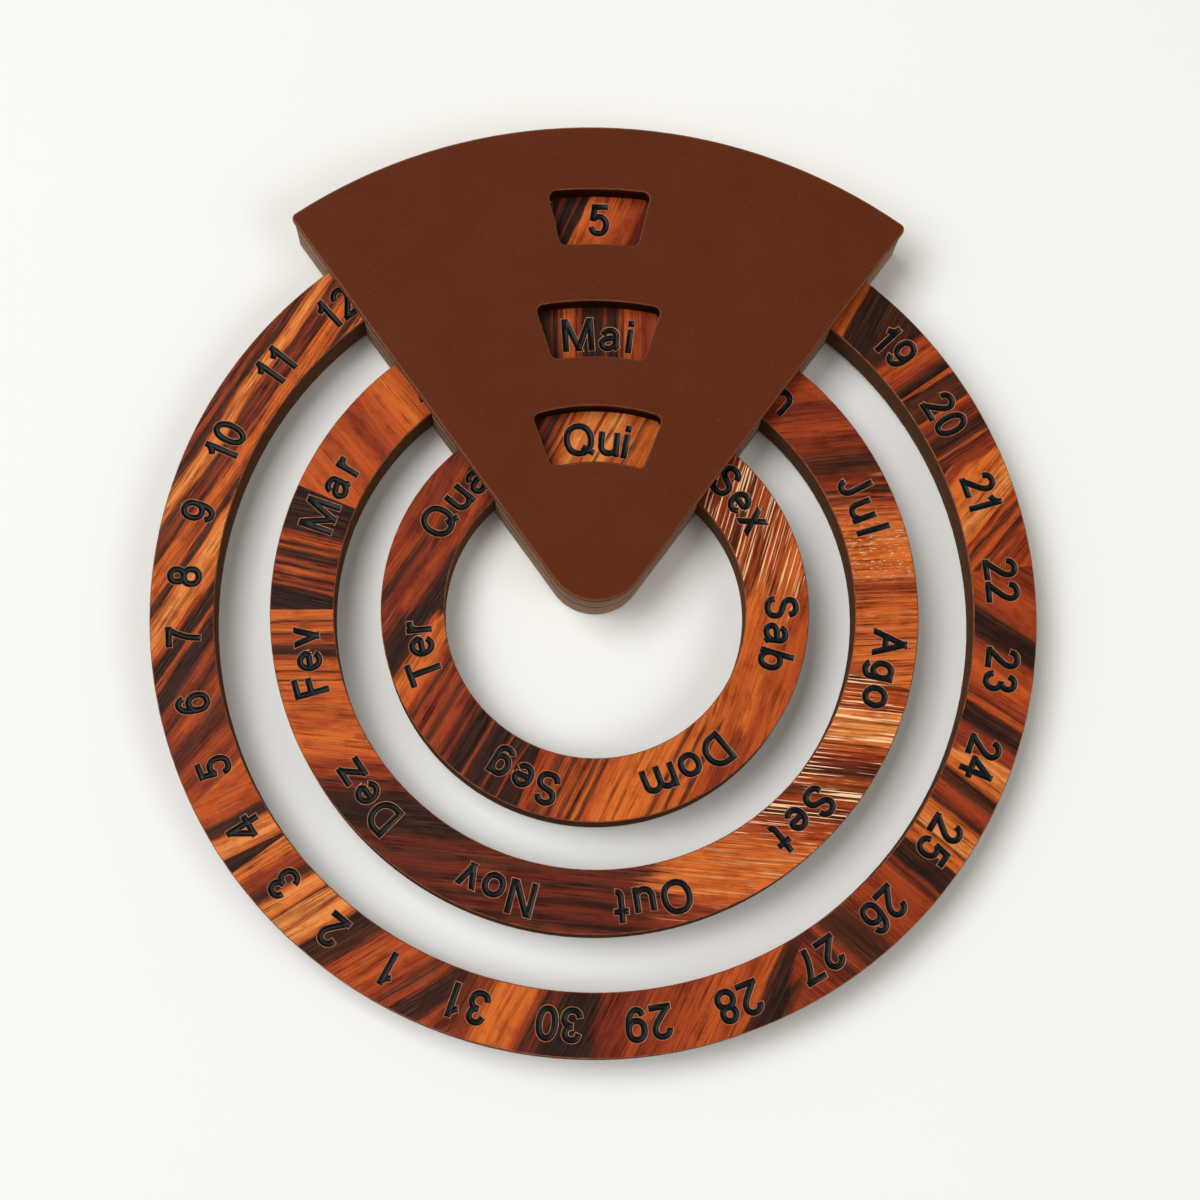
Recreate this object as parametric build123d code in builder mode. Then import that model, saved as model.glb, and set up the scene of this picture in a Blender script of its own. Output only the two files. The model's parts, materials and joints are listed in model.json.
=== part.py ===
"""Perpetual calendar: three lettered rings that turn in a fan-shaped block with three windows.

The part lies on its back, face up. X runs across, Y up the face and Z out of it. The origin is the
centre of the part's outline, on the surface that it lies on. Angles on the rings count clockwise
from the top of the face, about the rings' common axis.
"""

import os
from math import cos, radians, sin, tan

from build123d import *

# ---------------------------------------------------------------- driving dimensions (mm, degrees)

# Rings: day numbers outside, then months, then weekdays
ring_names = ("day", "month", "weekday")
ring_radius = {"day": 141.0, "month": 103.1, "weekday": 68.1}  # outer radii
ring_width = 20.2
leaf_thickness = 0.8
leaf_angle = 180.0  # two half rings of veneer on each core
seam_angle = {"day": 47.0, "month": 112.5, "weekday": 20.6}  # the first seam

# Fan-shaped block, from the back: felt feet, back board, front board, face panel
fan_rim = 18.0  # the block rises this far above the day ring, to 300 mm over all
fan_half_angle = 36.2
fan_apex_drop = 10.5  # the fan's apex lies this far below the rings' axis
tip_radius = 16.4
corner_radius = 2.0
foot_height = 0.8
back_board_thickness = 11.2
front_board_thickness = 10.9
panel_thickness = 2.4
panel_overhang = 0.5
panel_edge = 0.6

# Ring grooves
groove_side_gap = 0.6
groove_top_gap = 0.4
groove_web = 5.1  # front board left over the rings
groove_floor = 1.4  # back board left under the rings

# Felt pads under the rings
pad_thickness = 0.4
pad_gap = 0.3
pad_length = 18.0
pad_width = 12.0
pad_angle = 18.0

# Windows
window_half_width = {"day": 14.9, "month": 18.1, "weekday": 18.8}  # halfway up the window
window_slant_angle = {"day": 13.0, "month": 18.5, "weekday": 20.5}
window_step = 1.9  # the lower edge lies inside the ring's bore by this much
window_lip = 3.4  # the upper edge covers this much of the ring
window_corner = 2.3
window_edge = 0.35

# Dowels that line up the boards
dowel_radius = 3.0
dowel_length = 13.0
dowel_side_gap = 0.05
dowel_end_gap = 0.5
dowel_angle = 17.0

# Countersunk screws from behind
screw_shank_radius = 1.75
screw_head_radius = 3.6
screw_cone_angle = 90.0
screw_length = 17.5
screw_side_gap = 0.1
screw_end_gap = 0.6
screw_angle = 30.0
tip_screw_height = 31.0  # above the rings' axis

# Felt feet
foot_radius = 7.0
foot_angle = 33.0
tip_foot_height = 15.0  # above the rings' axis

# Keyhole slot in the back
keyhole_radius = 4.2
keyhole_neck_radius = 2.1
keyhole_travel = 4.5
keyhole_lip = 2.0
keyhole_depth = 7.0
keyhole_drop = 2.6  # its round entry lies this far below the middle of the upper rib

# ---------------------------------------------------------------- derived sizes

fan_top = ring_radius["day"] + fan_rim
fan_radius = fan_top + fan_apex_drop
axis_y = (ring_radius["day"] - fan_top) / 2

back_z = foot_height
joint_z = back_z + back_board_thickness
panel_z = joint_z + front_board_thickness
groove_floor_z = back_z + groove_floor
groove_top_z = panel_z - groove_web
ring_bottom_z = groove_floor_z + pad_thickness + pad_gap
ring_top_z = groove_top_z - groove_top_gap
leaf_z = ring_top_z - leaf_thickness

# The middle of the rib above the day ring, where the upper fasteners sit
upper_rib = (ring_radius["day"] + groove_side_gap + fan_top) / 2


def polar(radius, angle):
    """The point at a radius from the rings' axis, at an angle clockwise from the top."""
    return Vector(radius * sin(radians(angle)), radius * cos(radians(angle)))


screw_spots = [polar(upper_rib, side * screw_angle) for side in (-1, 1)]
screw_spots.append(Vector(0, tip_screw_height))
dowel_spots = [polar(upper_rib, side * dowel_angle) for side in (-1, 1)]
foot_spots = [polar(ring_radius["day"] - ring_width / 2, side * foot_angle) for side in (-1, 1)]
foot_spots.append(Vector(0, tip_foot_height))
keyhole_y = upper_rib - keyhole_drop
keyhole_middle = (0, keyhole_y + keyhole_travel / 2)

os.makedirs("parts", exist_ok=True)


def level(z):
    """The plane at height z, with its origin on the rings' axis."""
    return Plane((0, axis_y, z))


def save(builder, name):
    """Label a finished piece and write its STEP file."""
    builder.part.label = name
    export_step(builder.part, f"parts/{name}.step")


# ---------------------------------------------------------------- shared outlines


def fan_outline(inset):
    """The block's fan: a circular sector with a rounded tip and corners, drawn inset."""
    half_width = fan_radius * sin(radians(fan_half_angle))
    corner_y = fan_radius * cos(radians(fan_half_angle)) - fan_apex_drop
    with BuildSketch() as fan:
        with BuildLine():
            Line((0, -fan_apex_drop), (half_width, corner_y))
            ThreePointArc((half_width, corner_y), (0, fan_top), (-half_width, corner_y))
            Line((-half_width, corner_y), (0, -fan_apex_drop))
        make_face()
        fillet(fan.vertices().sort_by(Axis.Y)[:1], tip_radius)
        fillet(fan.vertices().sort_by(Axis.Y)[-2:], corner_radius)
        if inset > 0:
            offset(amount=-inset)
    return fan.sketch


def groove_outlines():
    """The three annular grooves, each with its gap beside the ring."""
    with BuildSketch() as grooves:
        for radius in ring_radius.values():
            Circle(radius + groove_side_gap)
            Circle(radius - ring_width - groove_side_gap, mode=Mode.SUBTRACT)
    return grooves.sketch


def sector_outline(inner, outer, start, end):
    """The stretch of a flat ring between two angles."""
    middle = (start + end) / 2
    with BuildSketch() as sector:
        with BuildLine():
            ThreePointArc(polar(outer, start), polar(outer, middle), polar(outer, end))
            Line(polar(outer, end), polar(inner, end))
            ThreePointArc(polar(inner, end), polar(inner, middle), polar(inner, start))
            Line(polar(inner, start), polar(outer, start))
        make_face()
    return sector.sketch


def window_outline(name):
    """A window: arcs about the rings' axis above and below, slanted sides and round corners."""
    top = ring_radius[name] - window_lip
    bottom = ring_radius[name] - ring_width - window_step
    middle = (top + bottom) / 2
    low = bottom - window_half_width[name]
    slope = tan(radians(window_slant_angle[name]))
    low_half = window_half_width[name] - (middle - low) * slope
    top_half = window_half_width[name] + (top - middle) * slope
    corners = [(-low_half, low), (low_half, low), (top_half, top), (-top_half, top)]
    with BuildSketch() as window:
        Circle(top)
        Circle(bottom, mode=Mode.SUBTRACT)
        Polygon(*corners, align=None, mode=Mode.INTERSECT)
        fillet(window.vertices(), window_corner)
    return window.sketch


def window_outlines():
    """All three windows in one sketch."""
    with BuildSketch() as windows:
        for name in ring_names:
            add(window_outline(name))
    return windows.sketch


# ---------------------------------------------------------------- face panel

with BuildPart() as face_panel:
    with BuildSketch(level(panel_z)):
        add(fan_outline(0))
    extrude(amount=panel_thickness)
    chamfer(face_panel.faces().sort_by(Axis.Z)[-1].edges(), panel_edge)
    with BuildSketch(level(panel_z)):
        add(window_outlines())
    extrude(amount=panel_thickness, mode=Mode.SUBTRACT)
    window_rims = [wire.edges() for wire in face_panel.faces().sort_by(Axis.Z)[-1].inner_wires()]
    chamfer([edge for rim in window_rims for edge in rim], window_edge)
save(face_panel, "face_panel")

# ---------------------------------------------------------------- front board

with BuildPart() as front_board:
    with BuildSketch(level(joint_z)):
        add(fan_outline(panel_overhang))
    extrude(amount=front_board_thickness)

    # Front halves of the ring grooves, and the windows in the web above them
    with BuildSketch(level(joint_z)):
        add(groove_outlines())
    extrude(amount=groove_top_z - joint_z, mode=Mode.SUBTRACT)
    with BuildSketch(level(groove_top_z)):
        add(window_outlines())
    extrude(amount=groove_web, mode=Mode.SUBTRACT)

    # Blind holes from the joint for the dowels and the screws
    with BuildSketch(level(joint_z)):
        with Locations(*dowel_spots):
            Circle(dowel_radius + dowel_side_gap)
    extrude(amount=(dowel_length + dowel_end_gap) / 2, mode=Mode.SUBTRACT)
    with BuildSketch(level(joint_z)):
        with Locations(*screw_spots):
            Circle(screw_shank_radius + screw_side_gap)
    extrude(amount=screw_length - back_board_thickness + screw_end_gap, mode=Mode.SUBTRACT)
save(front_board, "front_board")

# ---------------------------------------------------------------- back board

back_face = Plane((0, axis_y, back_z), x_dir=(-1, 0, 0), z_dir=(0, 0, -1))

with BuildPart() as back_board:
    with BuildSketch(level(back_z)):
        add(fan_outline(panel_overhang))
    extrude(amount=back_board_thickness)

    # Back halves of the ring grooves
    with BuildSketch(level(groove_floor_z)):
        add(groove_outlines())
    extrude(amount=joint_z - groove_floor_z, mode=Mode.SUBTRACT)

    # Dowel holes from the joint, screw holes from behind
    with BuildSketch(level(joint_z)):
        with Locations(*dowel_spots):
            Circle(dowel_radius + dowel_side_gap)
    extrude(amount=-(dowel_length + dowel_end_gap) / 2, mode=Mode.SUBTRACT)
    with Locations(back_face):
        with Locations(*screw_spots):
            CounterSinkHole(
                radius=screw_shank_radius + screw_side_gap,
                counter_sink_radius=screw_head_radius + screw_side_gap,
                depth=back_board_thickness,
                counter_sink_angle=screw_cone_angle,
            )

    # Keyhole: a round entry, a narrow neck above it and a wide slot behind the neck's lip
    with BuildSketch(level(back_z)):
        with Locations((0, keyhole_y)):
            Circle(keyhole_radius)
        with Locations(keyhole_middle):
            SlotCenterToCenter(keyhole_travel, 2 * keyhole_neck_radius, rotation=90)
    extrude(amount=keyhole_depth, mode=Mode.SUBTRACT)
    with BuildSketch(level(back_z + keyhole_lip)):
        with Locations(keyhole_middle):
            SlotCenterToCenter(keyhole_travel, 2 * keyhole_radius, rotation=90)
    extrude(amount=keyhole_depth - keyhole_lip, mode=Mode.SUBTRACT)
save(back_board, "back_board")

# ---------------------------------------------------------------- rings

for name in ring_names:
    outer = ring_radius[name]
    inner = outer - ring_width

    # Core ring
    with BuildPart() as ring_core:
        with BuildSketch(level(ring_bottom_z)):
            Circle(outer)
            Circle(inner, mode=Mode.SUBTRACT)
        extrude(amount=leaf_z - ring_bottom_z)
    save(ring_core, f"{name}_ring_core")

    # Leaves of veneer, seam to seam round the core's face
    for index in range(round(360 / leaf_angle)):
        start = seam_angle[name] + index * leaf_angle
        with BuildPart() as leaf:
            with BuildSketch(level(leaf_z)):
                add(sector_outline(inner, outer, start, start + leaf_angle))
            extrude(amount=leaf_thickness)
        save(leaf, f"{name}_leaf_{index + 1}")

    # Felt pads on the groove's floor
    with BuildPart() as pads:
        with BuildSketch(level(groove_floor_z)):
            for side in (-1, 1):
                with Locations(polar((outer + inner) / 2, side * pad_angle)):
                    Rectangle(pad_length, pad_width, rotation=-side * pad_angle)
        extrude(amount=pad_thickness)
    save(pads, f"{name}_pads")

# ---------------------------------------------------------------- fasteners and feet

with BuildPart() as dowels:
    with BuildSketch(level(joint_z - dowel_length / 2)):
        with Locations(*dowel_spots):
            Circle(dowel_radius)
    extrude(amount=dowel_length)
save(dowels, "dowels")

cone_height = (screw_head_radius - screw_shank_radius) / tan(radians(screw_cone_angle / 2))

with BuildPart() as screw:
    with BuildSketch(Plane.XZ):
        with BuildLine():
            Polyline(
                (0, 0),
                (screw_head_radius, 0),
                (screw_shank_radius, cone_height),
                (screw_shank_radius, screw_length),
                (0, screw_length),
                close=True,
            )
        make_face()
    revolve(axis=Axis.Z)

with BuildPart() as back_screws:
    with Locations(level(back_z)):
        with Locations(*screw_spots):
            add(screw.part)
save(back_screws, "back_screws")

with BuildPart() as felt_feet:
    with BuildSketch(level(0)):
        with Locations(*foot_spots):
            Circle(foot_radius)
    extrude(amount=foot_height)
save(felt_feet, "felt_feet")
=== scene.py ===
import json
from math import atan2, cos, degrees, hypot, pi, radians, sin

import bpy
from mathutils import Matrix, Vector
from mathutils.geometry import delaunay_2d_cdt


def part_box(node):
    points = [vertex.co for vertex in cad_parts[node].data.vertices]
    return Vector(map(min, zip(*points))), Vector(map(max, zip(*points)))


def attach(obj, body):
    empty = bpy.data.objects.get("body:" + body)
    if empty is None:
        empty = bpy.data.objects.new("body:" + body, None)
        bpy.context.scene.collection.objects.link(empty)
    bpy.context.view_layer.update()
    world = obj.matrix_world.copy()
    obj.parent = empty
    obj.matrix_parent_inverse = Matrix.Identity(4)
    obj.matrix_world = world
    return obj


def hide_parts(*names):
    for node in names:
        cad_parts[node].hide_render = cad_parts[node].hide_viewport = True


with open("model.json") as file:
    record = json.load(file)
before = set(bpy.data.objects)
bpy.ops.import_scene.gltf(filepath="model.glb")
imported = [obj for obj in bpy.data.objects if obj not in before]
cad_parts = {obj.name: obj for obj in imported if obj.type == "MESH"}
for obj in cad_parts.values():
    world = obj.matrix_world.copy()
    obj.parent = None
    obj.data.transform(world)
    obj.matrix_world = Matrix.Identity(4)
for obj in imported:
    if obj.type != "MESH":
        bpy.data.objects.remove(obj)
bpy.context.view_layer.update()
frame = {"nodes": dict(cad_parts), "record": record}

# Perpetual calendar: three rings of figured veneer with routed, black-painted lettering, turning in a
# chocolate-brown fan-shaped block. Lengths are in millimetres until mesh points are made, and angles
# on the rings count clockwise from the top of the face, about the rings' common axis.

MM = 0.001

RINGS = ("day", "month", "weekday")
AXIS_Y = (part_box("day_ring_core")[0].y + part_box("day_ring_core")[1].y) / 2 / MM
FACE_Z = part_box("day_leaf_1")[1].z / MM
LEAF_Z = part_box("day_leaf_1")[0].z / MM
RING_WIDTH = 20.2
RADIUS = {name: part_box(f"{name}_ring_core")[1].x / MM for name in RINGS}
JOINT_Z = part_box("front_board")[0].z / MM
PANEL_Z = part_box("front_board")[1].z / MM


# ---- colours


def display(red, green, blue):
    """A linear colour from the display values 0 to 255."""
    values = [value / 255 for value in (red, green, blue)]
    linear = [v / 12.92 if v <= 0.04045 else ((v + 0.055) / 1.055) ** 2.4 for v in values]
    return (*linear, 1.0)


WHITE = display(255, 255, 255)
TONES = {
    "coal": display(42, 25, 20),
    "bark": display(62, 32, 22),
    "nut": display(90, 44, 28),
    "wine": display(114, 40, 24),
    "clay": display(138, 52, 26),
    "rust": display(166, 67, 29),
    "fire": display(193, 85, 33),
    "amber": display(214, 107, 41),
    "gold": display(234, 143, 72),
    "cream": display(255, 210, 160),
}

# What the veneer's dark marks multiply its tones by, and what its light streaks brighten them with
STREAK_SHADE = display(116, 90, 80)
BAND_SHADE = display(142, 108, 96)
CLOUD_SHADE = display(168, 132, 118)
FURROW_SHADE = display(120, 92, 80)
PORE_SHADE = display(90, 66, 56)
GLEAM = display(84, 50, 24)


# ---- nodes


class Nodes:
    """Short calls that add nodes to a tree. Inputs are values or sockets."""

    def __init__(self, tree):
        self.tree = tree

    def set(self, socket, value):
        if isinstance(value, bpy.types.NodeSocket):
            self.tree.links.new(value, socket)
        else:
            socket.default_value = value

    def add(self, kind, inputs=None, **settings):
        made = self.tree.nodes.new(kind)
        for name, value in settings.items():
            setattr(made, name, value)
        for key, value in (inputs or {}).items():
            self.set(made.inputs[key], value)
        return made

    def calc(self, operation, *values, clamp=False):
        """One scalar step."""
        inputs = dict(enumerate(values))
        return self.add("ShaderNodeMath", inputs, operation=operation, use_clamp=clamp).outputs[0]

    def vector(self, operation, *values):
        """One vector step."""
        return self.add("ShaderNodeVectorMath", dict(enumerate(values)), operation=operation).outputs[0]

    def combine(self, x, y=0.0, z=0.0):
        return self.add("ShaderNodeCombineXYZ", {"X": x, "Y": y, "Z": z}).outputs[0]

    def split(self, vector):
        """The three components."""
        return self.add("ShaderNodeSeparateXYZ", {"Vector": vector}).outputs

    def turn(self, vector, angle):
        """The vector turned about Z by an angle in degrees."""
        inputs = {"Vector": vector, "Angle": radians(angle)}
        return self.add("ShaderNodeVectorRotate", inputs, rotation_type="Z_AXIS").outputs[0]

    def noise(self, vector, scale, detail=2.0, roughness=0.5, distortion=0.0):
        """Noise from 0 to 1. The scale is one number, or one for each direction."""
        if isinstance(scale, tuple):
            vector = self.vector("MULTIPLY", vector, scale)
            scale = 1.0
        inputs = {"Vector": vector, "Scale": scale, "Detail": detail, "Roughness": roughness}
        return self.add("ShaderNodeTexNoise", {**inputs, "Distortion": distortion}).outputs["Fac"]

    def remap(self, value, low, high, out_low=0.0, out_high=1.0):
        """From one range to another, without going past its ends."""
        inputs = dict(enumerate((value, low, high, out_low, out_high)))
        return self.add("ShaderNodeMapRange", inputs).outputs["Result"]

    def mix(self, factor, first, second, blend="MIX"):
        """Two colours mixed."""
        inputs = {0: factor, 6: first, 7: second}
        return self.add("ShaderNodeMix", inputs, data_type="RGBA", blend_type=blend).outputs[2]

    def darken(self, factor, colour, shade):
        return self.mix(factor, colour, shade, "MULTIPLY")

    def choose(self, factor, first, second):
        """The first number where the factor is 0, and the second where it is 1."""
        return self.add("ShaderNodeMix", {0: factor, 2: first, 3: second}).outputs[0]

    def ramp(self, factor, stops):
        """A colour ramp with (position, colour) stops in rising order."""
        made = self.add("ShaderNodeValToRGB", {"Fac": factor})
        elements = made.color_ramp.elements
        for element, (position, colour) in zip(elements, (stops[0], stops[-1])):
            element.position = position
            element.color = colour
        for position, colour in stops[1:-1]:
            elements.new(position).color = colour
        return made.outputs["Color"]


class Surface(Nodes):
    """A new material. Its place is in millimetres, with the origin on the rings' axis."""

    def __init__(self, name):
        self.material = bpy.data.materials.new(name)
        self.material.use_nodes = True
        super().__init__(self.material.node_tree)
        self.shader = self.tree.nodes["Principled BSDF"].inputs
        self.coordinates = self.add("ShaderNodeTexCoord").outputs
        metres = self.coordinates["Object"]
        self.place = self.vector("MULTIPLY_ADD", metres, (1 / MM,) * 3, (0.0, -AXIS_Y, 0.0))

    def finish(self, colour, roughness, specular=None):
        self.set(self.shader["Base Color"], colour)
        self.set(self.shader["Roughness"], roughness)
        if specular is not None:
            self.shader["Specular IOR Level"].default_value = specular

    def bump(self, height, strength, depth):
        """Surface relief. Its depth is in metres."""
        made = self.add("ShaderNodeBump", {"Height": height, "Strength": strength, "Distance": depth})
        self.set(self.shader["Normal"], made.outputs["Normal"])


def mottled(name, grain, contrast, colours, roughness, relief, specular=None):
    """A surface whose colour changes with one noise.

    The grain is the noise's scale, detail and roughness, the contrast its values for the two colours,
    and the relief the strength and depth of the bump. A pair for the roughness goes with the noise.
    """
    made = Surface(name)
    value = made.noise(made.place, *grain)
    if isinstance(roughness, tuple):
        roughness = made.remap(value, 0.3, 0.7, *roughness)
    made.finish(made.mix(made.remap(value, *contrast), *colours), roughness, specular)
    made.bump(value, *relief)
    return made


# ---- veneer


class Leaf:
    """A leaf of veneer between two seams, with straight grain at an angle above the X axis.

    Its strips of tone lie across the grain. Each is placed by the angle where it crosses the middle of
    the ring, or, where the grain nearly follows the ring, by its distance from the axis in mm. A leaf
    with a soft start takes over its neighbour's figure, and changes to its own over some degrees.
    """

    def __init__(self, start, end, grain, strips, by_angle=True, wave=1.0, streak=1.0, cream=0.0, fleck=0.0,
                 soft=0.0):
        self.start = start
        self.end = end
        self.grain = grain
        self.strips = strips
        self.by_angle = by_angle
        self.wave = wave  # how far the strips' edges wander
        self.streak = streak  # how strong the dark and light streaks are
        self.cream = cream  # and the cream ones
        self.fleck = fleck  # and the cream flecks
        self.soft = soft  # degrees over which a soft start changes

    def stops(self, radius):
        """Strips as (distance across the grain, colour), in rising order."""
        placed = []
        for strip in self.strips.split(","):
            *places, tone = strip.split()
            for place in map(float, places):
                if self.by_angle:
                    place = radius * cos(radians(place + self.grain))
                placed.append((place, TONES[tone]))
        return sorted(placed, key=lambda stop: stop[0])


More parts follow.
